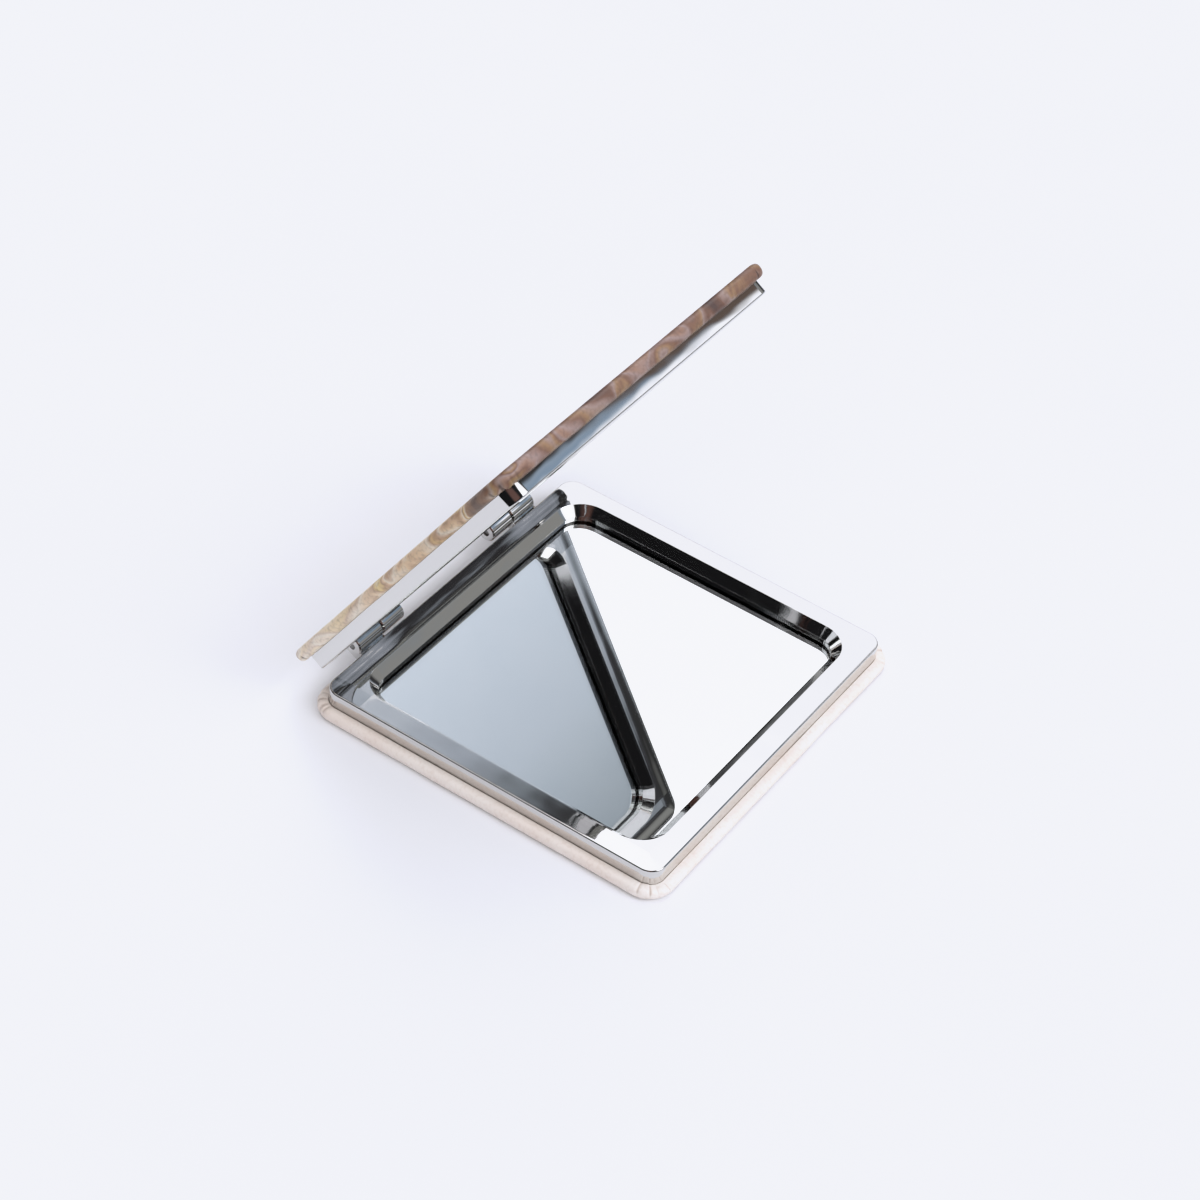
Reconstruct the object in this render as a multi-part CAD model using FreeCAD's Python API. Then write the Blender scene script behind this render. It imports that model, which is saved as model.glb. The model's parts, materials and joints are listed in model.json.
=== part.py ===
import FreeCAD, Part
import math
import os

# Compact mirror: two chrome-plated halves joined by a pair of barrel hinges. Each half is a die-cast
# frame that holds a glass mirror from behind, closed at the back by a board covered with soft leather.
# X runs along the hinge, the hinge is at +Y, the opening edge at -Y, and Z = 0 is the table.
# Lengths are in millimetres, angles in degrees.

# Frame
frame_width = 62.0
frame_depth = 56.8
frame_height = 3.0
frame_corner = 2.5
frame_edge_round = 0.3
frame_wall = 1.0
rim_width = 3.3
rim_slope_corner = 0.1
rim_fall = 0.12
rim_thickness = 0.9
bevel_run = 1.4
bevel_drop = 1.35
recess_corner = 5.0
lip_depth = 2.15
lip_thickness = 1.0

# Mirror glass, held against the lip of the frame by a foam tape
glass_thickness = 0.8
glass_clearance = 0.15
glass_corner = 1.6
glass_edge_bevel = 0.15
tape_clearance = 0.4
tape_corner = 2.0

# Leather-covered back panel
leather_overhang = 1.65
leather_thickness = 0.4
leather_corner = 4.2
leather_edge_round = 0.8
leather_roll_height = 0.45
leather_roll_clearance = 0.15
leather_roll_bevel = 0.6
leather_turn_in = 6.0
turn_in_corner = 2.4
board_thickness = 0.45
padding_thickness = 0.2
board_clearance = 0.05

# Hinge
hinge_offset = 1.8
barrel_diameter = 3.0
pin_diameter = 1.0
pin_running_clearance = 0.05
pin_end_chamfer = 0.15
pin_end_recess = 0.25
knuckle_inset = 14.8
knuckle_gap = 0.2
base_knuckle_length = 5.5
lid_knuckle_length = 4.9
knuckle_edge_bevel = 0.2
web_drop = 2.4
closing_gap = 0.4
open_angle = 58.5

# Magnets that keep the halves shut, in the channel under the opening edge of each rim
magnet_length = 10.0
magnet_width = 2.0
magnet_thickness = 0.9
magnet_inset = 13.0
magnet_edge_round = 0.2

# One overrun for every cut that passes through a face, and how closely two heights count as one
overrun = 1.0
same_height = 0.001

# Heights of the layers, from the table up
panel_thickness = 2 * leather_thickness + padding_thickness + board_thickness
padding_bottom = leather_thickness
board_bottom = padding_bottom + padding_thickness
board_top = board_bottom + board_thickness
rim_height = panel_thickness + frame_height
wall_top = rim_height - rim_fall
rim_slope_run = frame_corner - rim_slope_corner
lip_bottom = rim_height - lip_depth
glass_bottom = lip_bottom - glass_thickness

# Half sizes of the nested outlines, X then Y
frame_half = (frame_width / 2, frame_depth / 2)
knuckle_meeting = frame_half[0] - knuckle_inset
hinge_y = frame_half[1] + hinge_offset
hinge_z = rim_height + closing_gap / 2


def grown(half, amount):
    """Half sizes of an outline moved outwards by an amount."""
    return (half[0] + amount, half[1] + amount)


def outline(half, corner, z):
    """A rectangle with round corners, as a closed wire at height z."""
    x, y = half
    turn = corner * (1 - math.sqrt(0.5))
    edges = []
    ends = []
    for sx, sy in ((1, 1), (-1, 1), (-1, -1), (1, -1)):
        on_side = FreeCAD.Vector(sx * x, sy * (y - corner), z)
        on_end = FreeCAD.Vector(sx * (x - corner), sy * y, z)
        middle = FreeCAD.Vector(sx * (x - turn), sy * (y - turn), z)
        first, last = (on_side, on_end) if sx == sy else (on_end, on_side)
        if ends:
            edges.append(Part.LineSegment(ends[-1], first).toShape())
        edges.append(Part.Arc(first, middle, last).toShape())
        ends += [first, last]
    edges.append(Part.LineSegment(ends[-1], ends[0]).toShape())
    return Part.Wire(edges)


def slab(half, corner, bottom, top):
    """A flat block with round corners in plan."""
    rise = FreeCAD.Vector(0, 0, top - bottom)
    return Part.Face(outline(half, corner, bottom)).extrude(rise)


def edges_at(shape, z):
    """The edges of a shape that lie flat at one height."""
    return [e for e in shape.Edges if all(abs(v.Z - z) < same_height for v in e.Vertexes)]


def knuckle(first_x, last_x):
    """A hinge barrel with the web that carries it on the frame's back wall."""
    radius = barrel_diameter / 2
    wall_y = frame_half[1]
    root_y = wall_y - frame_wall / 2
    front_y = hinge_y - radius
    root_top = wall_top - frame_edge_round
    web_bottom = rim_height - web_drop
    # The underside of the web leaves the wall, sloping, and touches the barrel at its back.
    reach = math.hypot(hinge_y - wall_y, hinge_z - web_bottom)
    slope = math.atan2(hinge_z - web_bottom, hinge_y - wall_y)
    swing = slope - math.asin(radius / reach)
    run = math.sqrt(reach ** 2 - radius ** 2)
    root_bottom = web_bottom - (wall_y - root_y) * math.tan(swing)
    touch = (wall_y + run * math.cos(swing), web_bottom + run * math.sin(swing))
    over = (hinge_y, hinge_z + radius)

    def at(point):
        return FreeCAD.Vector(first_x, *point)

    front = (front_y, hinge_z)
    corners = [front, (front_y, root_top), (root_y, root_top), (root_y, root_bottom), touch]
    sides = [Part.LineSegment(at(p), at(q)).toShape() for p, q in zip(corners, corners[1:])]
    crown = Part.Arc(at(touch), at(over), at(front)).toShape()
    profile = Part.Face(Part.Wire(sides + [crown]))
    solid = profile.extrude(FreeCAD.Vector(last_x - first_x, 0, 0))
    ends = [e for e in solid.Edges if is_knuckle_rim(e)]
    return solid.makeChamfer(knuckle_edge_bevel, ends)


def is_knuckle_rim(edge):
    """Whether an edge runs round the end of a knuckle, clear of its root in the wall."""
    across = abs(edge.BoundBox.XLength) < same_height
    return across and edge.BoundBox.YMax > hinge_y - barrel_diameter / 2 + same_height


def bore(first_x, last_x, radius):
    """The hole for the pin, along the whole of a knuckle."""
    start = FreeCAD.Vector(first_x - overrun, hinge_y, hinge_z)
    return Part.makeCylinder(radius, last_x - first_x + 2 * overrun, start, FreeCAD.Vector(1, 0, 0))


def frame(knuckle_spans, bore_radius):
    """The cast frame: rim, sloping bevel, lip for the glass, and the hinge knuckles."""
    inside = grown(frame_half, -frame_wall)
    inside_corner = frame_corner - frame_wall
    recess = grown(frame_half, -rim_width)
    opening = grown(recess, -bevel_run)
    opening_corner = recess_corner - bevel_run
    bevel_bottom = rim_height - bevel_drop

    # The rim is flat beside the recess and falls a little to the outside.
    body = slab(frame_half, frame_corner, panel_thickness, wall_top)
    body = body.makeFillet(frame_edge_round, edges_at(body, wall_top))
    rim = Part.makeLoft([
        outline(grown(frame_half, -frame_edge_round), frame_corner - frame_edge_round, wall_top),
        outline(grown(frame_half, -rim_slope_run), rim_slope_corner, rim_height),
    ], True, True)
    body = body.fuse(rim)

    glass_seat = slab(inside, inside_corner, panel_thickness - overrun, lip_bottom)
    channel = slab(inside, inside_corner, lip_bottom - overrun, rim_height - rim_thickness)
    lip = slab(grown(opening, lip_thickness), opening_corner + lip_thickness, lip_bottom, rim_height)
    # The channel under the rim follows the bevel, so the casting is as thick there as at the rim.
    bevel_back = Part.makeLoft([
        outline(opening, opening_corner, bevel_bottom - rim_thickness),
        outline(recess, recess_corner, rim_height - rim_thickness),
    ], True, True)
    bevel = Part.makeLoft([
        outline(opening, opening_corner, bevel_bottom),
        outline(recess, recess_corner, rim_height),
    ], True, True)
    through = slab(opening, opening_corner, panel_thickness - overrun, rim_height)
    above = slab(recess, recess_corner, rim_height, rim_height + overrun)

    body = body.cut(glass_seat).cut(channel.cut(lip).cut(bevel_back))
    body = body.cut(through).cut(bevel).cut(above)
    for first_x, last_x in knuckle_spans:
        body = body.fuse(knuckle(first_x, last_x))
    for first_x, last_x in knuckle_spans:
        body = body.cut(bore(first_x, last_x, bore_radius))
    return body.removeSplitter()


def mirror_glass():
    """The glass plate: it drops into the frame from behind and seats on the lip."""
    half = grown(frame_half, -frame_wall - glass_clearance)
    plate = slab(half, glass_corner, glass_bottom, lip_bottom)
    rims = edges_at(plate, glass_bottom) + edges_at(plate, lip_bottom)
    return plate.makeChamfer(glass_edge_bevel, rims)


def panel_half():
    """Half sizes of the leather-covered panel."""
    return grown(frame_half, leather_overhang)


def turn_in_window():
    """Half sizes of the opening that the turned-in leather leaves on the board."""
    return grown(panel_half(), -leather_turn_in)


def mirror_tape():
    """The foam tape between the glass and the board, inside the turned-in leather."""
    half = grown(turn_in_window(), -tape_clearance)
    return slab(half, tape_corner, board_top, glass_bottom)


def board():
    """The stiff card that the leather is stretched over."""
    half = grown(panel_half(), -leather_thickness - board_clearance)
    corner = leather_corner - leather_thickness - board_clearance
    return slab(half, corner, board_bottom, board_top)


def padding():
    """The thin foam sheet between the card and the leather."""
    half = grown(panel_half(), -leather_thickness - board_clearance)
    corner = leather_corner - leather_thickness - board_clearance
    return slab(half, corner, padding_bottom, board_bottom)


def leather_cover():
    """The leather, wrapped round the board in a soft roll and turned in under the frame."""
    roll_top = panel_thickness + leather_roll_height
    cover = slab(panel_half(), leather_corner, 0, roll_top)
    cover = cover.makeFillet(leather_edge_round, edges_at(cover, 0))
    cover = cover.makeChamfer(leather_roll_bevel, edges_at(cover, roll_top))
    # The roll stands up round the frame's wall, a little clear of it.
    seat_half = grown(frame_half, leather_roll_clearance)
    seat_corner = frame_corner + leather_roll_clearance
    seat = slab(seat_half, seat_corner, panel_thickness, roll_top + overrun)
    cover = cover.cut(seat)
    pocket_half = grown(panel_half(), -leather_thickness)
    pocket = slab(pocket_half, leather_corner - leather_thickness, padding_bottom, board_top)
    window = slab(turn_in_window(), turn_in_corner, board_bottom, panel_thickness + overrun)
    return cover.cut(pocket).cut(window)


def magnet(side):
    """A bar magnet glued under the rim at the opening edge, left or right of the middle."""
    centre_y = (frame_wall + rim_width) / 2 - frame_half[1]
    top = rim_height - rim_thickness
    centre_x = side * (frame_half[0] - magnet_inset)
    corner = FreeCAD.Vector(centre_x - magnet_length / 2, centre_y - magnet_width / 2,
                            top - magnet_thickness)
    bar = Part.makeBox(magnet_length, magnet_width, magnet_thickness, corner)
    upright = [e for e in bar.Edges if e.Vertexes[0].Z != e.Vertexes[1].Z]
    return bar.makeFillet(magnet_edge_round, upright)


def knuckle_spans(inner, outer):
    """The stretches of the hinge line that a knuckle takes, right and left alike."""
    return [(inner, outer), (-outer, -inner)]


def hinge_pin(side):
    """A steel pin pressed into the base's knuckle and running in the lid's."""
    half_gap = knuckle_gap / 2
    outer = knuckle_meeting + half_gap + base_knuckle_length
    inner = knuckle_meeting - half_gap - lid_knuckle_length + pin_end_recess
    length = outer - inner
    start = FreeCAD.Vector(side * inner, hinge_y, hinge_z)
    pin = Part.makeCylinder(pin_diameter / 2, length, start, FreeCAD.Vector(side, 0, 0))
    rims = [e for e in pin.Edges if len(e.Vertexes) == 1]
    return pin.makeChamfer(pin_end_chamfer, rims)


def on_lid(shape):
    """Turn a piece of the base about to lie behind the hinge, then swing it up to the open angle."""
    flat = shape.copy()
    flat.rotate(FreeCAD.Vector(0, hinge_y, 0), FreeCAD.Vector(0, 0, 1), 180)
    flat.rotate(FreeCAD.Vector(0, hinge_y, hinge_z), FreeCAD.Vector(1, 0, 0), 180 - open_angle)
    return flat


def build():
    """Every piece of the mirror, by name."""
    base_start = knuckle_meeting + knuckle_gap / 2
    lid_end = knuckle_meeting - knuckle_gap / 2
    base_spans = knuckle_spans(base_start, base_start + base_knuckle_length)
    lid_spans = knuckle_spans(lid_end - lid_knuckle_length, lid_end)
    pin_radius = pin_diameter / 2

    pieces = {
        "base_frame": frame(base_spans, pin_radius),
        "lid_frame": on_lid(frame(lid_spans, pin_radius + pin_running_clearance)),
    }
    shared = {
        "mirror": mirror_glass(),
        "mirror_tape": mirror_tape(),
        "board": board(),
        "padding": padding(),
        "leather_cover": leather_cover(),
        "magnet_left": magnet(-1),
        "magnet_right": magnet(1),
    }
    for name, shape in shared.items():
        pieces["base_" + name] = shape
        pieces["lid_" + name] = on_lid(shape)
    pieces["hinge_pin_left"] = hinge_pin(-1)
    pieces["hinge_pin_right"] = hinge_pin(1)
    return pieces


def main():
    os.makedirs("parts", exist_ok=True)
    for name, shape in sorted(build().items()):
        shape.exportStep(os.path.join("parts", name + ".step"))
        box = shape.BoundBox
        print(f"{name}: {len(shape.Solids)} solid, valid {shape.isValid()}, {shape.Volume:.1f} mm3, "
              f"{box.XLength:.2f} x {box.YLength:.2f} x {box.ZLength:.2f} mm")


main()
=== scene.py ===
# %% [markdown]
# # An open compact mirror
# The real object is a pocket mirror in two halves. Each half is a chrome-plated cast frame with a glass
# mirror set in it, and a thin leather-covered panel closes its back. The frame, glass and hinge come in
# as finished solids, so this lesson dresses them, and models what is soft or too fine for the solids.

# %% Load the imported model
import json
import math

import bpy
import numpy as np
from mathutils import Matrix, Quaternion, Vector


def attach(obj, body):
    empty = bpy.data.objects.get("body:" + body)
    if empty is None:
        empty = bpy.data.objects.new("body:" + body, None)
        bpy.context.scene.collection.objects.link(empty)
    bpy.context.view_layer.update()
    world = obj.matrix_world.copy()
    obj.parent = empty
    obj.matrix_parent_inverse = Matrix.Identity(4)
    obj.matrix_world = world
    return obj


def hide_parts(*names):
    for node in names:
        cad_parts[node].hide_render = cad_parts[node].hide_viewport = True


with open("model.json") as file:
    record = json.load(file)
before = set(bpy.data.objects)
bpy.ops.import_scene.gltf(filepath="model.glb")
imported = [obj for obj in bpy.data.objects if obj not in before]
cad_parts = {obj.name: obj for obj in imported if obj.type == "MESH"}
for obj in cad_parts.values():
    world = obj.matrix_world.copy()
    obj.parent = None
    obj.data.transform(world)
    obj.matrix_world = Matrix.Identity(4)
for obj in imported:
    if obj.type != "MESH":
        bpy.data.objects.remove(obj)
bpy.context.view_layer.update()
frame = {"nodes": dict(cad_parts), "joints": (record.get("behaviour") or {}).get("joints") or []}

print("pieces that came in:", sorted(frame["nodes"]))

# %% [markdown]
# ## Two halves, one shape
# The lid is the base turned about and swung up on the hinge. Anything modelled for the base can be copied
# to the lid with one matrix, so both halves are sure to match. The hinge line is read from the joint. It
# lies in the middle of the narrow gap that is left between the rims when the mirror is shut.

# %% The hinge and the swing of the lid
MM = 0.001
closing_gap = 0.4
hinge = frame["joints"][0]
hinge_point = Vector(hinge["pos_m"])
rim_height = hinge_point.z / MM - closing_gap / 2
open_flat = math.radians(hinge["range_deg"][1])

about_hinge = Matrix.Translation(hinge_point)
turn_about = Matrix.Rotation(math.pi, 4, "Z")
swing_up = Matrix.Rotation(open_flat, 4, "X")
base_to_lid = about_hinge @ swing_up @ turn_about @ about_hinge.inverted()
HALVES = {"base": Matrix.Identity(4), "lid": base_to_lid}
print("rim height %.2f mm, lid swung up from flat by %.1f degrees" % (rim_height, math.degrees(open_flat)))

# %% [markdown]
# ## The camera
# The photograph looks down on the mirror along the open lid, so the lid shows as a thin slanting bar. The
# view is set by a point to look at, a distance, two angles and a small roll. A long lens keeps the
# rim's corners as square as they are in the photograph.

# %% Camera
look_at = Vector((10.26, 8.7, rim_height)) * MM
view_turn = math.radians(-61.3)
view_height = math.radians(41.54)
view_roll = math.radians(8.14)
view_distance = 460.4 * MM
sensor_width = 36.0
lens_length = 93.45
nearest_seen = 10 * MM

looking = Vector((
    -math.sin(view_turn) * math.cos(view_height),
    math.cos(view_turn) * math.cos(view_height),
    -math.sin(view_height),
))
camera = bpy.data.objects.new("camera", bpy.data.cameras.new("camera"))
camera.data.sensor_width = sensor_width
camera.data.lens = lens_length
camera.data.clip_start = nearest_seen
camera.rotation_mode = "QUATERNION"
camera.rotation_quaternion = looking.to_track_quat("-Z", "Y") @ Quaternion((0, 0, 1), view_roll)
camera.location = look_at - looking * view_distance
bpy.context.scene.collection.objects.link(camera)
bpy.context.scene.camera = camera
print("camera at", tuple(round(c / MM, 1) for c in camera.location), "mm")

# %% [markdown]
# ## Wiring nodes
# Light and finishes are made of nodes here. A small helper adds a node, sets its values and joins it to
# others, so that a recipe reads as a list of steps. An input that is a socket is linked, any other is a
# value.

# %% Helper for nodes, and an empty studio
def add_node(tree, kind, inputs=None, **settings):
    made = tree.nodes.new("ShaderNode" + kind)
    for name, value in settings.items():
        setattr(made, name, value)
    for key, value in (inputs or {}).items():
        if isinstance(value, bpy.types.NodeSocket):
            tree.links.new(value, made.inputs[key])
        else:
            made.inputs[key].default_value = value
    return made


studio = bpy.data.worlds.new("studio")
studio.use_nodes = True
bpy.context.scene.world = studio
air = studio.node_tree
print("the empty studio has", len(air.nodes), "nodes")

# %% [markdown]
# ## The studio
# Chrome shows little but its surroundings, so the studio matters more here than the metal. Lamps would
# show in it as hard spots, so the light is painted on the world instead, as soft round glows in a dark
# room. Each glow is a direction, a reach in degrees and a soft edge.

# %% A round glow
sky = add_node(air, "TexCoord").outputs["Generated"]


def spread(tree, value, low, high, to_low, to_high):
    """Carry a value smoothly from one range over to another."""
    ranged = add_node(tree, "MapRange", {
        "Value": value, "From Min": low, "From Max": high, "To Min": to_low, "To Max": to_high,
    }, interpolation_type="SMOOTHSTEP")
    return ranged.outputs["Result"]


def glow(towards, reach, edge):
    """How much a direction lies within a round glow, 1 inside and 0 outside its soft edge."""
    near = add_node(air, "VectorMath", {0: sky, 1: Vector(towards).normalized()}, operation="DOT_PRODUCT")
    far_cos = math.cos(math.radians(reach + edge))
    near_cos = math.cos(math.radians(max(reach - edge, 0)))
    return spread(air, near.outputs["Value"], far_cos, near_cos, 0.0, 1.0)


print("glows are placed by the", sky.name, "direction")

# %% [markdown]
# ## The side of the room
# The mirror in the lid and some of the bevels face one side of the room. It is pale and bluish towards
# the table, dark just above it, then grey, then blue, and dark again at the top. A pale panel and a brown
# one stand there too, for the lid's wall to show.

# %% Bands and panels
def mix_colours(tree, amount, first, second, **settings):
    """Go from the first colour to the second as the amount goes from 0 to 1."""
    return add_node(tree, "Mix", {0: amount, 6: first, 7: second}, data_type="RGBA", **settings).outputs[2]


def colour_ramp(tree, value, bands, low=0.0, high=1.0):
    """Colours by value, given as pairs of value and colour."""
    made = add_node(tree, "ValToRGB", {"Fac": add_node(tree, "MapRange", {
        "Value": value, "From Min": low, "From Max": high,
    }).outputs["Result"]})
    elements = made.color_ramp.elements
    while len(elements) < len(bands):
        elements.new(1.0)
    for element, (at, colour) in zip(elements, bands):
        element.position = (at - low) / (high - low)
        element.color = (*colour, 1)
    return made.outputs["Color"]


side_of_room = [
    # height of the direction, colour
    (-0.30, (0.81, 0.84, 0.92)), (-0.06, (0.715, 0.765, 0.865)), (0.0, (0.51, 0.555, 0.64)),
    (0.045, (0.28, 0.31, 0.35)), (0.075, (0.05, 0.05, 0.055)), (0.15, (0.03, 0.03, 0.03)),
    (0.24, (0.32, 0.32, 0.31)), (0.42, (0.33, 0.33, 0.315)), (0.54, (0.22, 0.30, 0.40)),
    (0.60, (0.27, 0.39, 0.54)), (0.638, (0.37, 0.47, 0.59)), (0.656, (0.04, 0.04, 0.04)),
    (0.80, (0.03, 0.03, 0.03)),
]
room_panels = [
    # towards, reach, edge, colour
    ((0.76, -0.44, 0.50), 7.0, 1.5, (1.6, 1.63, 1.70, 1)),
    ((0.78, -0.28, 0.63), 6.0, 1.5, (0.15, 0.11, 0.09, 1)),
]
room_height = add_node(air, "SeparateXYZ", {0: sky}).outputs["Z"]
room_side = colour_ramp(air, room_height, side_of_room, side_of_room[0][0], side_of_room[-1][0])
for towards, reach, edge, colour in room_panels:
    room_side = mix_colours(air, glow(towards, reach, edge), room_side, colour)
print("side of the room: %d bands, %d panels" % (len(side_of_room), len(room_panels)))

# %% [markdown]
# ## Adding up the light
# The glows are added to a dark room: a white wall that the rim and the glass face, a main light, one
# overhead, a faint brown glow on the near side, and the side of the room. A soft fill from the front left
# lightens leather and paper. A real screen there would show in the chrome, so rays that leave polished
# surfaces don't meet this one. The camera itself sees a plain backdrop instead of the room.

# %% All the light together
studio_glows = [
    # towards, reach, edge, colour
    ((0.69, 0.33, 0.645), 24, 9, (1.50, 1.51, 1.56)),
    ((0.21, -0.68, 0.70), 17, 5, (4.0, 4.0, 4.0)),
    ((0.10, 0.22, 0.97), 29, 9, (1.75, 1.75, 1.77)),
    ((-0.70, -0.45, 0.55), 16, 10, (0.15, 0.075, 0.06)),
    ((0.66, -0.72, 0.20), 42, 12, room_side),
]
fill_screen = ((-0.60, -0.42, 0.68), 30, 10)
fill_light = (1.65, 1.65, 1.65)
dark_room = (0.012, 0.012, 0.013)
backdrop_white = (0.99, 1.0, 1.06, 1.0)


def calc(tree, operation, *values):
    return add_node(tree, "Math", dict(enumerate(values)), operation=operation).outputs[0]


def times_plus(tree, value, factor, added):
    """A place or colour times a factor, plus another."""
    summed = add_node(tree, "VectorMath", {0: value, 1: factor, 2: added}, operation="MULTIPLY_ADD")
    return summed.outputs["Vector"]


ray = add_node(air, "LightPath")
unpolished = calc(air, "SUBTRACT", 1.0, ray.outputs["Is Glossy Ray"])
fill_glow = calc(air, "MULTIPLY", glow(*fill_screen), unpolished)
light_sum = times_plus(air, fill_glow, fill_light, dark_room)
for towards, reach, edge, colour in studio_glows:
    light_sum = times_plus(air, glow(towards, reach, edge), colour, light_sum)
backdrop = add_node(air, "Background", {"Color": backdrop_white})
surroundings = add_node(air, "Background", {"Color": light_sum, "Strength": 1.0})
either = add_node(air, "MixShader", {
    0: ray.outputs["Is Camera Ray"], 1: surroundings.outputs[0], 2: backdrop.outputs[0],
})
air.links.new(either.outputs[0], air.nodes["World Output"].inputs["Surface"])
print("glows in the studio:", len(studio_glows) + 1)

# %% [markdown]
# ## The exposure
# A camera doesn't clip bright light at once, it lets it roll off. The plain view is given a curve that is
# straight for the darker half and bends over near white, so a bright wall and the sheet both stay white.
# The photograph's whites are a little cool, so blue rises somewhat more than red and green.

# %% Exposure curve
exposure = bpy.context.scene.view_settings
exposure.view_transform = "Standard"
exposure.use_curve_mapping = True
brightest = 4.0
exposure.curve_mapping.white_level = (brightest, brightest, brightest)
roll_off = [
    # light, and how red, green and blue show it
    (0.25, 0.250, 0.250, 0.252), (0.5, 0.500, 0.500, 0.507), (0.75, 0.720, 0.722, 0.748),
    (0.9, 0.825, 0.830, 0.873), (1.0, 0.876, 0.884, 0.928), (1.25, 0.906, 0.911, 0.945),
    (1.6, 0.926, 0.931, 0.957), (2.5, 0.960, 0.964, 0.976),
]
for channel in range(3):
    curve = exposure.curve_mapping.curves[channel]
    for light, *shown in roll_off:
        curve.points.new(light / brightest, shown[channel])
    for point in curve.points:
        point.handle_type = "AUTO_CLAMPED"
exposure.curve_mapping.update()
print("points on each exposure curve:", len(roll_off) + 2)

# %% [markdown]
# ## The table top
# The mirror lies on a plain near-white sheet. It is a disc a hair below the leather, with a faint mottle
# so that it isn't perfectly even. It belongs to the stage and not to the object.

# %% Table top
table_radius = 0.2
table_middle = (0.06, 0.04)
table_level = -0.00002
table_sides = 128
table_mesh = bpy.data.meshes.new("table_top")
rim_points = [
    (
        table_middle[0] + table_radius * math.cos(a),
        table_middle[1] + table_radius * math.sin(a),
        table_level,
    )
    for a in np.linspace(0, 2 * math.pi, table_sides, endpoint=False)
]
table_mesh.from_pydata(rim_points, [], [list(range(len(rim_points)))])
table_top = bpy.data.objects.new("table_top", table_mesh)
bpy.context.scene.collection.objects.link(table_top)
print("table top %.2f m across" % (2 * table_radius))

# %% Paper finish
def new_finish(name):
    finish = bpy.data.materials.new(name)
    finish.use_nodes = True
    shader = finish.node_tree.nodes["Principled BSDF"]
    print("finish:", name)
    return finish, finish.node_tree, shader


def own_place(tree):
    return add_node(tree, "TexCoord").outputs["Object"]


def cloudy(tree, size_mm, detail=2.0, roughness=0.5, place=None):
    made = add_node(tree, "TexNoise", {
        "Vector": place or own_place(tree), "Scale": 1 / (size_mm * MM), "Detail": detail,
        "Roughness": roughness,
    })
    return made.outputs["Fac"]


paper, tree, shader = new_finish("paper")
mottle = spread(tree, cloudy(tree, 60), 0.3, 0.7, 0.0, 1.0)
tint = mix_colours(tree, mottle, (0.84, 0.85, 0.89, 1), (0.86, 0.87, 0.91, 1))
tree.links.new(tint, shader.inputs["Base Color"])
shader.inputs["Roughness"].default_value = 0.9
shader.inputs["Specular IOR Level"].default_value = 0.1
table_mesh.materials.append(paper)

# %% [markdown]
# ## What polishing does to the frame
# The frames are zinc castings, polished and plated. A polishing wheel leaves no face quite flat: the outer
# wall gets a little barrel-shaped, the rims lean and bow, and by the hinge, where the wheel can't reach
# well, it leaves streaks. Such heights are too slight to model, so they are worked out from the place on
# the frame and go into the bump. Both halves use the same rules, as if each lay flat like the base. Only
# the roll and the lean of the rim differ between them.

# %% Places on a half
def half_place(tree, half):
    """Places on a half, in millimetres, as if it lay flat like the base."""
    where, turn, _ = HALVES[half].decompose()
    flat = add_node(tree, "Mapping", {
        "Vector": own_place(tree), "Location": where, "Rotation": turn.to_euler(), "Scale": (MM, MM, MM),
    }, vector_type="TEXTURE")
    return flat.outputs["Vector"]


def within(tree, value, low, high):
    return calc(tree, "MINIMUM", calc(tree, "MAXIMUM", value, low), high)


frame_half = (31.0, 28.4)
print("outline of the frame: %.1f by %.1f mm" % (2 * frame_half[0], 2 * frame_half[1]))

# %% Heights left by polishing, in millimetres
rim_inner = 3.1
rim_roll = {"base": 0.0, "lid": 0.11}
roll_from, roll_to = 0.6, 2.6
rim_lean = {"base": 0.05, "lid": 0.03}
lean_from = 2.4
rim_bow = 0.0014
bow_from, bow_to = -24.0, 22.0
hinge_edge = 0.2
hinge_leans = [
    # slope, how far in from the hinge edge it reaches
    (0.018, 3.3), (0.05, 2.4),
]
middle_lean = 0.030
middle_from, middle_to = 12.0, 19.0
wall_middle = 1.3
wall_swell = 0.018
wall_from, wall_to = 0.3, 1.5
hinge_streaks = 0.04
streak_from, streak_to = 2.6, 3.3
along_hinge = (0.12, 1.0, 1.0)


def stretched(tree, place, factors):
    return add_node(tree, "VectorMath", {0: place, 1: factors}, operation="MULTIPLY").outputs[0]


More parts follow.
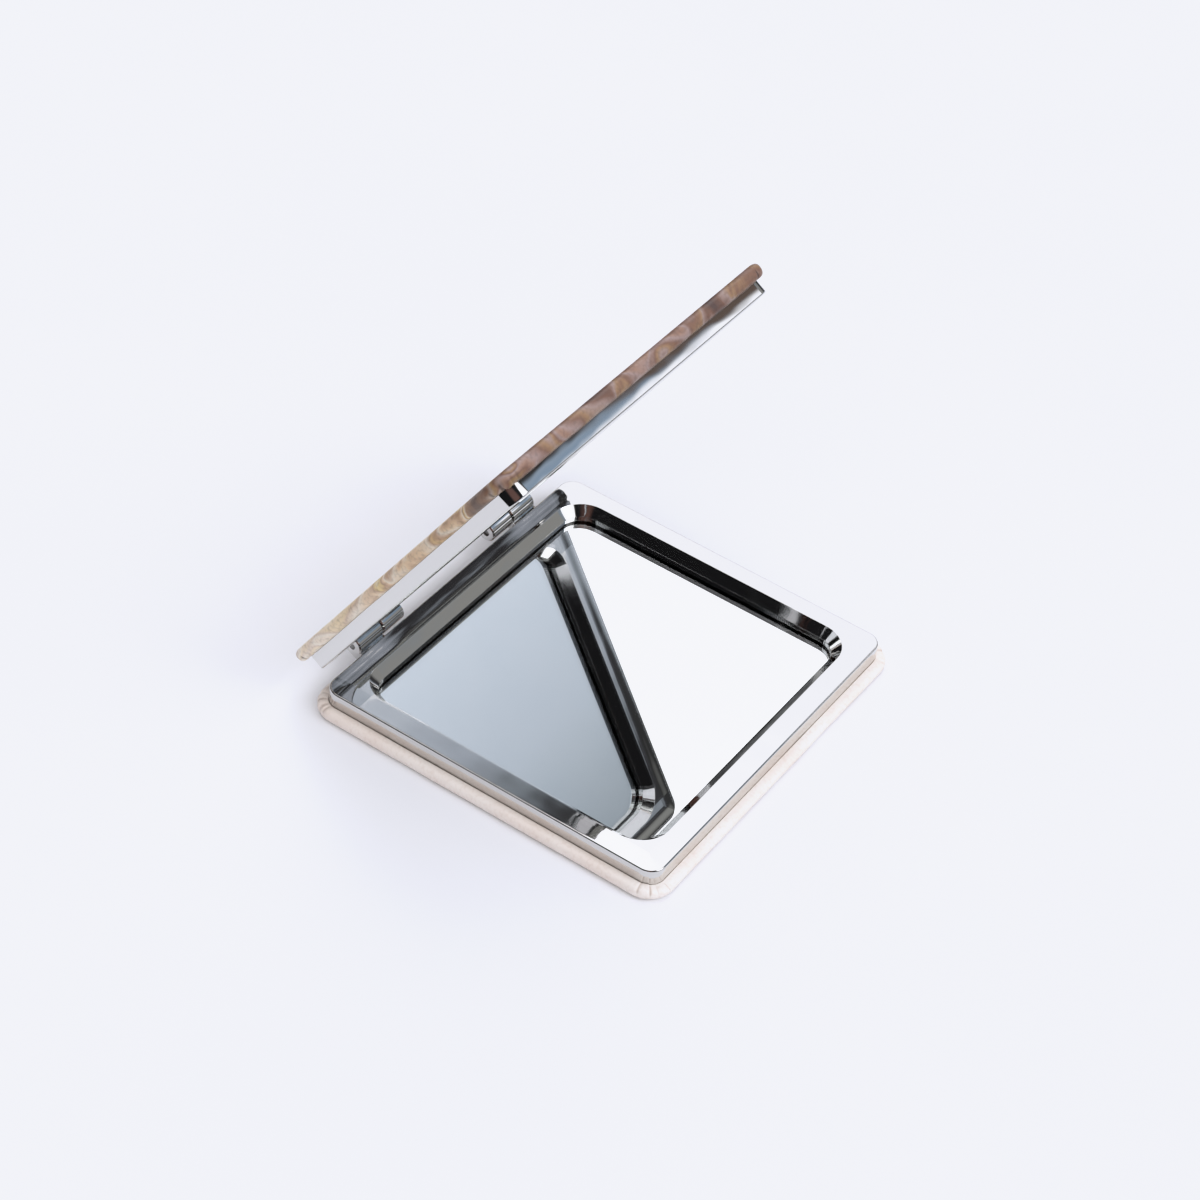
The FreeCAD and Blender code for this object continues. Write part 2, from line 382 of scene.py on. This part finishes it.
def polished_shape(tree, place, half):
    """Rims that lean and bow, a swelling wall, and streaks by the hinge."""
    x, y, z = add_node(tree, "SeparateXYZ", {0: place}).outputs
    from_side = calc(tree, "SUBTRACT", frame_half[0], calc(tree, "ABSOLUTE", x))
    from_opening = calc(tree, "ADD", y, frame_half[1])
    from_hinge = calc(tree, "SUBTRACT", frame_half[1], y)
    inset = calc(tree, "MINIMUM", from_side, from_opening)

    rolled = spread(tree, inset, roll_from, roll_to, 0.0, rim_roll[half])
    lean = calc(tree, "MULTIPLY_ADD", within(tree, inset, lean_from, rim_inner), rim_lean[half], rolled)
    bowed = calc(tree, "POWER", within(tree, y, bow_from, bow_to), 2.0)
    lean = calc(tree, "MULTIPLY_ADD", bowed, -rim_bow / 2, lean)
    in_middle = spread(tree, calc(tree, "ABSOLUTE", x), middle_from, middle_to, middle_lean, 0.0)
    for slope, run in hinge_leans + [(in_middle, rim_inner)]:
        past = calc(tree, "SUBTRACT", run, within(tree, from_hinge, hinge_edge, run))
        lean = calc(tree, "MULTIPLY_ADD", past, slope, lean)

    level = within(tree, calc(tree, "SUBTRACT", z, rim_height - wall_middle), -wall_middle, wall_middle)
    bulge = calc(tree, "SUBTRACT", wall_middle ** 2, calc(tree, "MULTIPLY", level, level))
    on_wall = spread(tree, calc(tree, "MINIMUM", inset, from_hinge), wall_from, wall_to, wall_swell, 0.0)
    streaks = add_node(tree, "TexNoise", {
        "Vector": stretched(tree, place, along_hinge), "Scale": 0.55, "Detail": 1.5,
    }).outputs["Fac"]
    by_hinge = spread(tree, from_hinge, streak_from, streak_to, hinge_streaks, 0.0)
    return calc(tree, "MULTIPLY_ADD", streaks, by_hinge, calc(tree, "MULTIPLY_ADD", bulge, on_wall, lean))


print("the outer wall swells by %.3f mm" % (wall_swell * wall_middle ** 2))

# %% [markdown]
# ## Chrome
# Plating is a mirror that isn't quite even: it has a slight ripple and a faint haze that differs from
# place to place. Both are soft noise, in the bump and in the roughness. A bevelled normal gives the
# sharpest edges a hair of rounding. The hinge pins are duller steel from the same recipe.

# %% Chrome finish
edge_rounding = 0.08
ripple_stretch = (1.0, 1.0, 2.5)


def make_chrome(name, half, colour, haze, ripple_height, shaped):
    finish, tree, shader = new_finish(name)
    shader.inputs["Base Color"].default_value = colour
    shader.inputs["Metallic"].default_value = 1.0
    place = half_place(tree, half)
    breath = add_node(tree, "TexNoise", {"Vector": place, "Scale": 0.2, "Detail": 3.0}).outputs["Fac"]
    tree.links.new(spread(tree, breath, 0.35, 0.7, *haze), shader.inputs["Roughness"])
    ripple = add_node(tree, "TexNoise", {
        "Vector": stretched(tree, place, ripple_stretch), "Scale": 0.125, "Detail": 1.0,
    }).outputs["Fac"]
    height = calc(tree, "MULTIPLY", ripple, ripple_height)
    if shaped:
        height = calc(tree, "ADD", height, polished_shape(tree, place, half))
    soft_edge = add_node(tree, "Bevel", {"Radius": edge_rounding * MM}, samples=4).outputs["Normal"]
    bump = add_node(tree, "Bump", {"Height": height, "Strength": 1.0, "Distance": MM, "Normal": soft_edge})
    tree.links.new(bump.outputs["Normal"], shader.inputs["Normal"])
    return finish


print("sharp edges look rounded by %.2f mm" % edge_rounding)

# %% Dress the frames and the pins
def dress(node_name, finish):
    mesh = frame["nodes"][node_name].data
    mesh.materials.clear()
    mesh.materials.append(finish)


for half in HALVES:
    chrome = make_chrome(half + "_chrome_plate", half, (0.63, 0.625, 0.62, 1), (0.03, 0.08), 0.06, True)
    dress(half + "_frame", chrome)
pin_steel = make_chrome("pin_steel", "base", (0.24, 0.235, 0.23, 1), (0.22, 0.38), 0.004, False)
for side in ("left", "right"):
    dress("hinge_pin_" + side, pin_steel)
print("frame facets:", len(frame["nodes"]["base_frame"].data.polygons))

# %% [markdown]
# ## Outlines
# The glass, the lip and the leather all follow rectangles with round corners. One helper walks round such
# an outline, with many short steps on the corners and evenly along the sides, and also gives the way out
# and the distance walked. Rings of the same count can be joined face by face.

# %% Walk round an outline
CORNERS = ((1, 1), (-1, 1), (-1, -1), (1, -1))


def walk_outline(half, corner, corner_steps, side_steps):
    middles = [np.array((sx * (half[0] - corner), sy * (half[1] - corner))) for sx, sy in CORNERS]
    points, outwards = [], []
    for quarter, middle in enumerate(middles):
        turn = np.radians(90 * quarter) + np.linspace(0, math.pi / 2, corner_steps + 1)
        way = np.stack((np.cos(turn), np.sin(turn)), 1)
        points.append(middle + corner * way)
        outwards.append(way)
        steps = side_steps[quarter % 2]
        along = np.linspace(0, 1, steps + 1)[1:-1, None]
        start = middle + corner * way[-1]
        end = middles[(quarter + 1) % len(middles)] + corner * way[-1]
        points.append(start + (end - start) * along)
        outwards.append(np.repeat(way[-1:], steps - 1, 0))
    points, outwards = np.concatenate(points), np.concatenate(outwards)
    gaps = np.linalg.norm(np.roll(points, -1, 0) - points, axis=1)
    walked = np.concatenate(((0,), np.cumsum(gaps)[:-1]))
    return points, outwards, walked


print("corners of an outline:", len(CORNERS))

# %% Make a piece from rings of points
def join_rings(count, rings, closed):
    """Faces between rings of points that follow each other, and back to the first if closed."""
    first = np.arange(count)
    second = np.roll(first, -1)
    faces = []
    for low in range(rings if closed else rings - 1):
        high = (low + 1) % rings
        faces += np.stack((low * count + first, low * count + second,
                           high * count + second, high * count + first), 1).tolist()
    return faces


def new_piece(name, points_mm, faces, finish, half, smooth):
    mesh = bpy.data.meshes.new(name)
    mesh.from_pydata((np.asarray(points_mm) * MM).tolist(), [], faces)
    mesh.transform(HALVES[half])
    mesh.materials.append(finish)
    mesh.polygons.foreach_set("use_smooth", [smooth] * len(mesh.polygons))
    mesh.update()
    piece = bpy.data.objects.new(name, mesh)
    bpy.context.scene.collection.objects.link(piece)
    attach(piece, half)
    print(name, "has", len(mesh.polygons), "faces")
    return piece


print("two rings of 4 points are joined by", len(join_rings(4, 2, False)), "faces")

# %% [markdown]
# ## Mirror glass
# A pocket mirror is a sheet of glass silvered at its back, so what it shows seems to lie a little deeper
# than its front. The glass came in as a solid and gets a clear finish, with the faint smears that a
# wiping cloth leaves. The silvering is a thin sheet set into its back.

# %% Finishes of glass and silvering
clear_glass, tree, shader = new_finish("clear_glass")
shader.inputs["Base Color"].default_value = (0.985, 1.0, 0.99, 1)
shader.inputs["Transmission Weight"].default_value = 1.0
shader.inputs["IOR"].default_value = 1.5
smear = cloudy(tree, 9.0, 4.0)
tree.links.new(spread(tree, smear, 0.5, 0.8, 0.0, 0.012), shader.inputs["Roughness"])

silvering, tree, shader = new_finish("silvering")
shader.inputs["Metallic"].default_value = 1.0
tarnish = spread(tree, cloudy(tree, 12.0, 3.0), 0.3, 0.75, 0.0, 1.0)
silver = mix_colours(tree, tarnish, (0.945, 0.95, 0.95, 1), (0.925, 0.935, 0.94, 1))
tree.links.new(silver, shader.inputs["Base Color"])
shader.inputs["Roughness"].default_value = 0.0

# %% Silver the glass
glass_inset = 1.15
silver_inset = glass_inset + 0.2
silver_corner = 1.4
glass_back = rim_height - 2.95
silver_below, silver_above = 0.02, 0.01


def silver_sheet(half):
    outline_half = (frame_half[0] - silver_inset, frame_half[1] - silver_inset)
    edge, _, _ = walk_outline(outline_half, silver_corner, 8, (2, 2))
    count = len(edge)
    levels = (glass_back - silver_below, glass_back + silver_above)
    rings = [np.column_stack((edge, np.full(count, z))) for z in levels]
    faces = join_rings(count, 2, False)
    faces += [list(range(count))[::-1], list(range(count, 2 * count))]
    new_piece(half + "_mirror_silvering", np.concatenate(rings), faces, silvering, half, False)


for half in HALVES:
    dress(half + "_mirror", clear_glass)
    silver_sheet(half)

# %% [markdown]
# ## The ribbed lip
# Inside the bevel the casting drops steeply to the glass, and this lip is finely ribbed, like the edge of
# a coin. The ribs are too fine and too many for the solids, so they are a thin ring here: a wavy inner
# face and a plain back sunk in the lip.

# %% Ribs of the lip
opening_inset = 4.7
opening_half = (frame_half[0] - opening_inset, frame_half[1] - opening_inset)
opening_corner = 3.6
rib_pitch = 0.35
rib_height = 0.009
rib_clearance = 0.02
rib_root = 0.3
lip_bottom, lip_top = rim_height - 2.14, rim_height - 1.37
steps_per_rib = 4


def lip_ribs(half):
    length = 2 * (opening_half[0] + opening_half[1]) * 2 - (8 - 2 * math.pi) * opening_corner
    ribs = round(length / rib_pitch)
    share = ribs * steps_per_rib / length
    corner_steps = round(share * opening_corner * math.pi / 2)
    side_steps = [round(share * 2 * (opening_half[i] - opening_corner)) for i in (0, 1)]
    points, outwards, _ = walk_outline(opening_half, opening_corner, corner_steps, side_steps)
    count = len(points)
    wave = 0.5 - 0.5 * np.cos(2 * math.pi * np.arange(count) / steps_per_rib)
    crest = points - outwards * (rib_clearance + rib_height * wave)[:, None]
    back = points + outwards * rib_root
    rib_section = ((crest, lip_bottom), (crest, lip_top), (back, lip_top), (back, lip_bottom))
    rings = [np.column_stack((ring, np.full(count, z))) for ring, z in rib_section]
    faces = join_rings(count, len(rings), True)
    lip_chrome = make_chrome(half + "_lip_chrome", half, (0.56, 0.56, 0.56, 1), (0.04, 0.09), 0.004, False)
    new_piece(half + "_lip_ribs", np.concatenate(rings), faces, lip_chrome, half, False)
    return ribs


for half in HALVES:
    print(half, "lip has", lip_ribs(half), "ribs")

# %% [markdown]
# ## The leather covers
# Each back panel is a card with a film of foam, wrapped in thin leather. The leather goes round the edge
# in a soft fat roll and is turned in under the frame. At the corners the spare leather is gathered in
# small pleats. A cloth simulation would shrink a wrap this thin to nothing, so the section is drawn as a
# smooth line, carried round the outline in rings, and pulled in along each pleat.

# %% Section of the cover, from the middle of the outer face round to the inside
leather_overhang = 1.65
panel_half = (frame_half[0] + leather_overhang, frame_half[1] + leather_overhang)
panel_corner = 4.2
inner_face = 0.395
middle_runs = [27.0, 22.0, 17.0, 12.0, 8.0, 5.0, 3.0, 2.0]
roll_knots = [
    # distance in from the edge, height
    (1.5, 0.0), (1.1, 0.0), (0.7, 0.06), (0.32, 0.24), (0.08, 0.55), (0.0, 0.95), (0.05, 1.35),
    (0.22, 1.66), (0.52, 1.86), (0.90, 1.94), (1.25, 1.93), (1.46, 1.90), (1.58, 1.83),
    (1.62, 1.66), (1.70, 1.435), (2.0, 1.435),
]
turned_in = [
    (4.0, 1.435), (5.8, 1.435), (6.0, 1.40), (6.0, 1.10), (5.8, 1.065), (3.0, 1.065), (0.8, 1.06),
    (0.45, 0.98), (0.41, 0.75), (0.45, 0.5), (0.8, inner_face),
]


def smooth_line(knots, steps):
    """A curve through the knots, each span cut in short steps."""
    knots = np.array(knots)
    padded = np.concatenate((2 * knots[:1] - knots[1:2], knots, 2 * knots[-1:] - knots[-2:-1]))
    out = []
    for a, b, c, d in zip(padded, padded[1:], padded[2:], padded[3:]):
        for t in np.arange(steps) / steps:
            out.append(0.5 * (2 * b + (c - a) * t + (2 * a - 5 * b + 4 * c - d) * t ** 2
                              + (3 * b - a - 3 * c + d) * t ** 3))
    return np.array(out + [knots[-1]])


roll_line = smooth_line(roll_knots, 3)
section = np.concatenate((
    [(d, 0.0) for d in middle_runs], roll_line, turned_in, [(d, inner_face) for d in reversed(middle_runs)],
))
roll_rows = np.arange(len(middle_runs), len(middle_runs) + len(roll_line))
print("rings in the section:", len(section))

# %% Pleats and unevenness
pleat_seed = np.random.default_rng(11)
pleat_place_shares = (0.16, 0.38, 0.62, 0.85)
pleat_shift_share = 0.08
pleat_strengths = (0.4, 1.0)
pleat_widths = (0.20, 0.42)
corner_length = panel_corner * math.pi / 2


def whole_way(walked):
    return walked[-1] + (walked[1] - walked[0])


def pleat_depths(walked, corner_starts):
    """How deep the pleats are at each point along the outline, 0 to 1."""
    depth = np.zeros(len(walked))
    total = whole_way(walked)
    for start in corner_starts:
        for place in pleat_place_shares:
            shift = pleat_seed.uniform(-pleat_shift_share, pleat_shift_share)
            strength = pleat_seed.uniform(*pleat_strengths)
            width = pleat_seed.uniform(*pleat_widths)
            away = (walked - start - corner_length * (place + shift) + total / 2) % total - total / 2
            depth = np.maximum(depth, strength * np.exp(-(away / width) ** 2))
    return depth


def slow_waves(walked, waves, seed):
    """A gentle unevenness along the outline, from waves that go round it whole times."""
    rng = np.random.default_rng(seed)
    total = whole_way(walked)
    out = np.zeros(len(walked))
    for count in waves:
        out += np.cos(2 * math.pi * (count * walked / total + rng.uniform())) / len(waves)
    return out


print("pleats at each corner:", len(pleat_place_shares))

# %% Build a cover
corner_steps, side_steps = 44, (104, 94)
plump_height = 0.05
sway_width = 0.03
pleat_pull = 0.20
opening_strip = 2.0
roll_ease_shares = (0.12, 0.88)
gather_heights = (0.35, 1.25)
lift_heights = (0.9, 1.8)
crown_runs = (1.5, 15.5)
crown_below = 0.5
wall_shade_runs = (1.40, 1.52)
# painted shade: the crease mark darkens the leather along the foot of the frame's wall and in the pleats
wall_shade_above = 1.5
wall_shade, wall_shade_sway = 0.26, 0.34
least_corner = 0.6


def ramp(value, ends):
    """0 at the first end, 1 at the second, straight between them."""
    return min(max((value - ends[0]) / (ends[1] - ends[0]), 0), 1)


def leather_cover(half, finish, crown, lift, seed):
    edge, _, walked = walk_outline(panel_half, panel_corner, corner_steps, side_steps)
    count = len(edge)
    long_side, short_side = (corner_steps + steps for steps in side_steps)
    pleats = pleat_depths(walked, walked[np.cumsum((0, long_side, short_side, long_side))])
    plump = slow_waves(walked, (5, 9, 14, 23), seed)
    sway = slow_waves(walked, (3, 7, 12, 19), seed + 1)
    at_opening = np.clip(opening_strip - (edge[:, 1] + panel_half[1]), 0, 1)
    step = np.gradient(section, axis=0)
    normal = np.stack((-step[:, 1], step[:, 0]), 1) / np.linalg.norm(step, axis=1)[:, None]
    rings, painted_crease_shade = [], []
    for row, (d, z) in enumerate(section):
        on_roll = row in roll_rows
        roll_share = (row - roll_rows[0]) / (len(roll_rows) - 1)
        over = math.sin(math.pi * ramp(roll_share, roll_ease_shares)) ** 0.8 if on_roll else 0.0
        gather = over * ramp(z, gather_heights)
        push = over * plump_height * plump - gather * pleat_pull * pleats
        inwards = normal[row, 0] * push - over * sway_width * sway
        height = z + normal[row, 1] * push + over * lift * at_opening * ramp(z, lift_heights)
        if d > crown_runs[0] and z < crown_below:
            height = height - crown * (1 - (1 - ramp(d, crown_runs)) ** 2)
        ring_half = (panel_half[0] - d, panel_half[1] - d)
        ring_corner = max(panel_corner - d, least_corner)
        points, ways, _ = walk_outline(ring_half, ring_corner, corner_steps, side_steps)
        points = points - ways * inwards[:, None]
        rings.append(np.column_stack((points, np.broadcast_to(height, count))))
        # painted shade where the roll meets the frame's wall, and in the pleats
        shade_by_wall = ramp(d, wall_shade_runs) if on_roll and z > wall_shade_above else 0.0
        painted_crease_shade.append(np.maximum(gather * pleats, shade_by_wall * (wall_shade + wall_shade_sway * sway)))
    faces = join_rings(count, len(rings), False)
    faces.append(list(range(count))[::-1])
    faces.append([(len(rings) - 1) * count + i for i in range(count)])
    cover = new_piece(half + "_cover", np.concatenate(rings), faces, finish, half, True)
    mark = cover.data.attributes.new("crease_shade_mark", "FLOAT", "POINT")
    mark.data.foreach_set("value", np.concatenate(painted_crease_shade).astype(np.float32))
    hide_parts(half + "_leather_cover")


print("points round a cover:", 4 * corner_steps + 2 * sum(side_steps))

# %% [markdown]
# ## Leather finishes
# The base is covered in plain cream leather, the lid in leather printed with a swirling marbled pattern.
# Both have the same fine grain: small rounded cells with hollows between them, a little darker with dust.
# The crease mark made with the mesh paints shade into the pleats and along the foot of the frame's wall.

# %% Grain shared by both leathers
grain_size = 0.42
grain_depth = 0.03


def leather_grain(tree, shader, shine):
    """Add the grain's bump and gloss, and give back how far each point is from its cell's middle."""
    place = own_place(tree)
    cells = add_node(tree, "TexVoronoi", {
        "Vector": place, "Scale": 1 / (grain_size * MM), "Randomness": 1.0,
    }, feature="SMOOTH_F1").outputs["Distance"]
    fine = cloudy(tree, 0.16, 2.0, 0.6, place)
    height = calc(tree, "MULTIPLY_ADD", cells, -0.8, fine)
    bump = add_node(tree, "Bump", {"Height": height, "Strength": 0.55, "Distance": grain_depth * MM})
    tree.links.new(bump.outputs["Normal"], shader.inputs["Normal"])
    tree.links.new(spread(tree, cells, 0.1, 0.7, *shine), shader.inputs["Roughness"])
    return cells


def age_and_shade(tree, shader, colour, hollows, dust, shadow):
    """Darken the hollows of the grain as handling does, paint shade into the creases, and wire up the
    colour.
    """
    painted_crease_shade = add_node(tree, "Attribute", attribute_name="crease_shade_mark").outputs["Fac"]
    for mark, reach, (amount, shade) in ((hollows, (0.35, 0.8), dust), (painted_crease_shade, (0.25, 1.0), shadow)):
        colour = mix_colours(tree, spread(tree, mark, *reach, 0.0, amount), colour, shade)
    tree.links.new(colour, shader.inputs["Base Color"])


print("grain cells about %.2f mm wide" % grain_size)

# %% Cream leather
cream_leather, tree, shader = new_finish("cream_leather")
hollows = leather_grain(tree, shader, (0.42, 0.62))
blush = spread(tree, cloudy(tree, 8.0, 3.0), 0.35, 0.68, 0.0, 1.0)
cream = mix_colours(tree, blush, (0.93, 0.85, 0.795, 1), (0.89, 0.775, 0.71, 1))
cream_dust = (0.30, (0.70, 0.57, 0.50, 1))
cream_shadow = (0.75, (0.32, 0.23, 0.20, 1))
age_and_shade(tree, shader, cream, hollows, cream_dust, cream_shadow)
leather_cover("base", cream_leather, 0.0, -0.42, 3)

# %% [markdown]
# ## The marbled print
# Marbled paper is made by floating inks on water and stirring them. Here one soft noise stirs the places
# that a second one is read at, and bands of colour on that second noise are the inks. The print is paler
# by the hinge and darker along the opening edge. Both follow the height on the open lid.

# %% Marbled leather
stir_size, stir_pull = 18, (0.020, 0.020, 0.020)
vein_size = 15
ink_bands = [
    # noise, colour
    (0.30, (0.16, 0.09, 0.06)), (0.37, (0.42, 0.23, 0.12)), (0.41, (0.86, 0.74, 0.58)),
    (0.45, (0.80, 0.56, 0.24)), (0.49, (0.50, 0.29, 0.15)), (0.53, (0.88, 0.76, 0.62)),
    (0.57, (0.84, 0.60, 0.38)), (0.62, (0.46, 0.25, 0.13)), (0.67, (0.82, 0.60, 0.22)),
    (0.72, (0.86, 0.75, 0.62)),
]
fade_heights, fade_amounts, fade_cream = (0.006, 0.040), (0.60, 0.08), (0.97, 0.90, 0.82, 1)
edge_dark_heights, edge_dark_tone = (0.050, 0.058), (0.36, 0.30, 0.345, 1)

marbled_leather, tree, shader = new_finish("marbled_leather")
hollows = leather_grain(tree, shader, (0.36, 0.55))
place = own_place(tree)
stir = add_node(tree, "TexNoise", {"Vector": place, "Scale": 1 / (stir_size * MM), "Detail": 2.0})
veins = add_node(tree, "TexNoise", {
    "Vector": times_plus(tree, stir.outputs["Color"], stir_pull, place), "Scale": 1 / (vein_size * MM),
    "Detail": 3.0, "Roughness": 0.45, "Distortion": 0.8,
})
inks = colour_ramp(tree, veins.outputs["Fac"], ink_bands)
up_the_lid = add_node(tree, "SeparateXYZ", {0: place}).outputs["Z"]
faded = mix_colours(tree, spread(tree, up_the_lid, *fade_heights, *fade_amounts), inks, fade_cream)
# darker along the opening edge, higher up the open lid
edge_darkening = spread(tree, up_the_lid, *edge_dark_heights, 0.0, 1.0)
edge_darkened = mix_colours(tree, edge_darkening, faded, edge_dark_tone, blend_type="MULTIPLY")
marbled_dust = (0.28, (0.10, 0.07, 0.06, 1))
marbled_shadow = (0.8, (0.04, 0.02, 0.015, 1))
age_and_shade(tree, shader, edge_darkened, hollows, marbled_dust, marbled_shadow)
leather_cover("lid", marbled_leather, 0.12, 0.30, 8)

# %% [markdown]
# ## What the panels hide
# Between the glass and the leather lie a foam tape, the card and a film of foam, and two bar magnets sit
# in each frame. They hardly show, but a part that is taken apart should still look right inside, so each
# has a finish of its own.

# %% Hidden layers
layer_relief = 0.02


def make_layer(name, low, high, size_mm, roughness, metal=0.0):
    finish, tree, shader = new_finish(name)
    patches = spread(tree, cloudy(tree, size_mm, 4.0, 0.65), 0.3, 0.7, 0.0, 1.0)
    tree.links.new(mix_colours(tree, patches, (*low, 1), (*high, 1)), shader.inputs["Base Color"])
    tree.links.new(spread(tree, patches, 0.0, 1.0, *roughness), shader.inputs["Roughness"])
    shader.inputs["Metallic"].default_value = metal
    bump = add_node(tree, "Bump", {"Height": patches, "Strength": 0.5, "Distance": layer_relief * MM})
    tree.links.new(bump.outputs["Normal"], shader.inputs["Normal"])
    return finish


layers = {
    "mirror_tape": make_layer("foam_tape", (0.84, 0.84, 0.82), (0.93, 0.93, 0.91), 0.25, (0.75, 0.95)),
    "board": make_layer("grey_card", (0.30, 0.27, 0.23), (0.42, 0.39, 0.34), 0.8, (0.8, 0.95)),
    "padding": make_layer("white_foam", (0.70, 0.69, 0.66), (0.82, 0.81, 0.78), 0.3, (0.8, 0.95)),
    "magnet_left": make_layer("nickel", (0.56, 0.54, 0.50), (0.66, 0.64, 0.60), 2.0, (0.2, 0.35), 1.0),
}
layers["magnet_right"] = layers["magnet_left"]
for half in HALVES:
    for layer, finish in layers.items():
        dress(half + "_" + layer, finish)
print("hidden layers dressed:", 2 * len(layers))
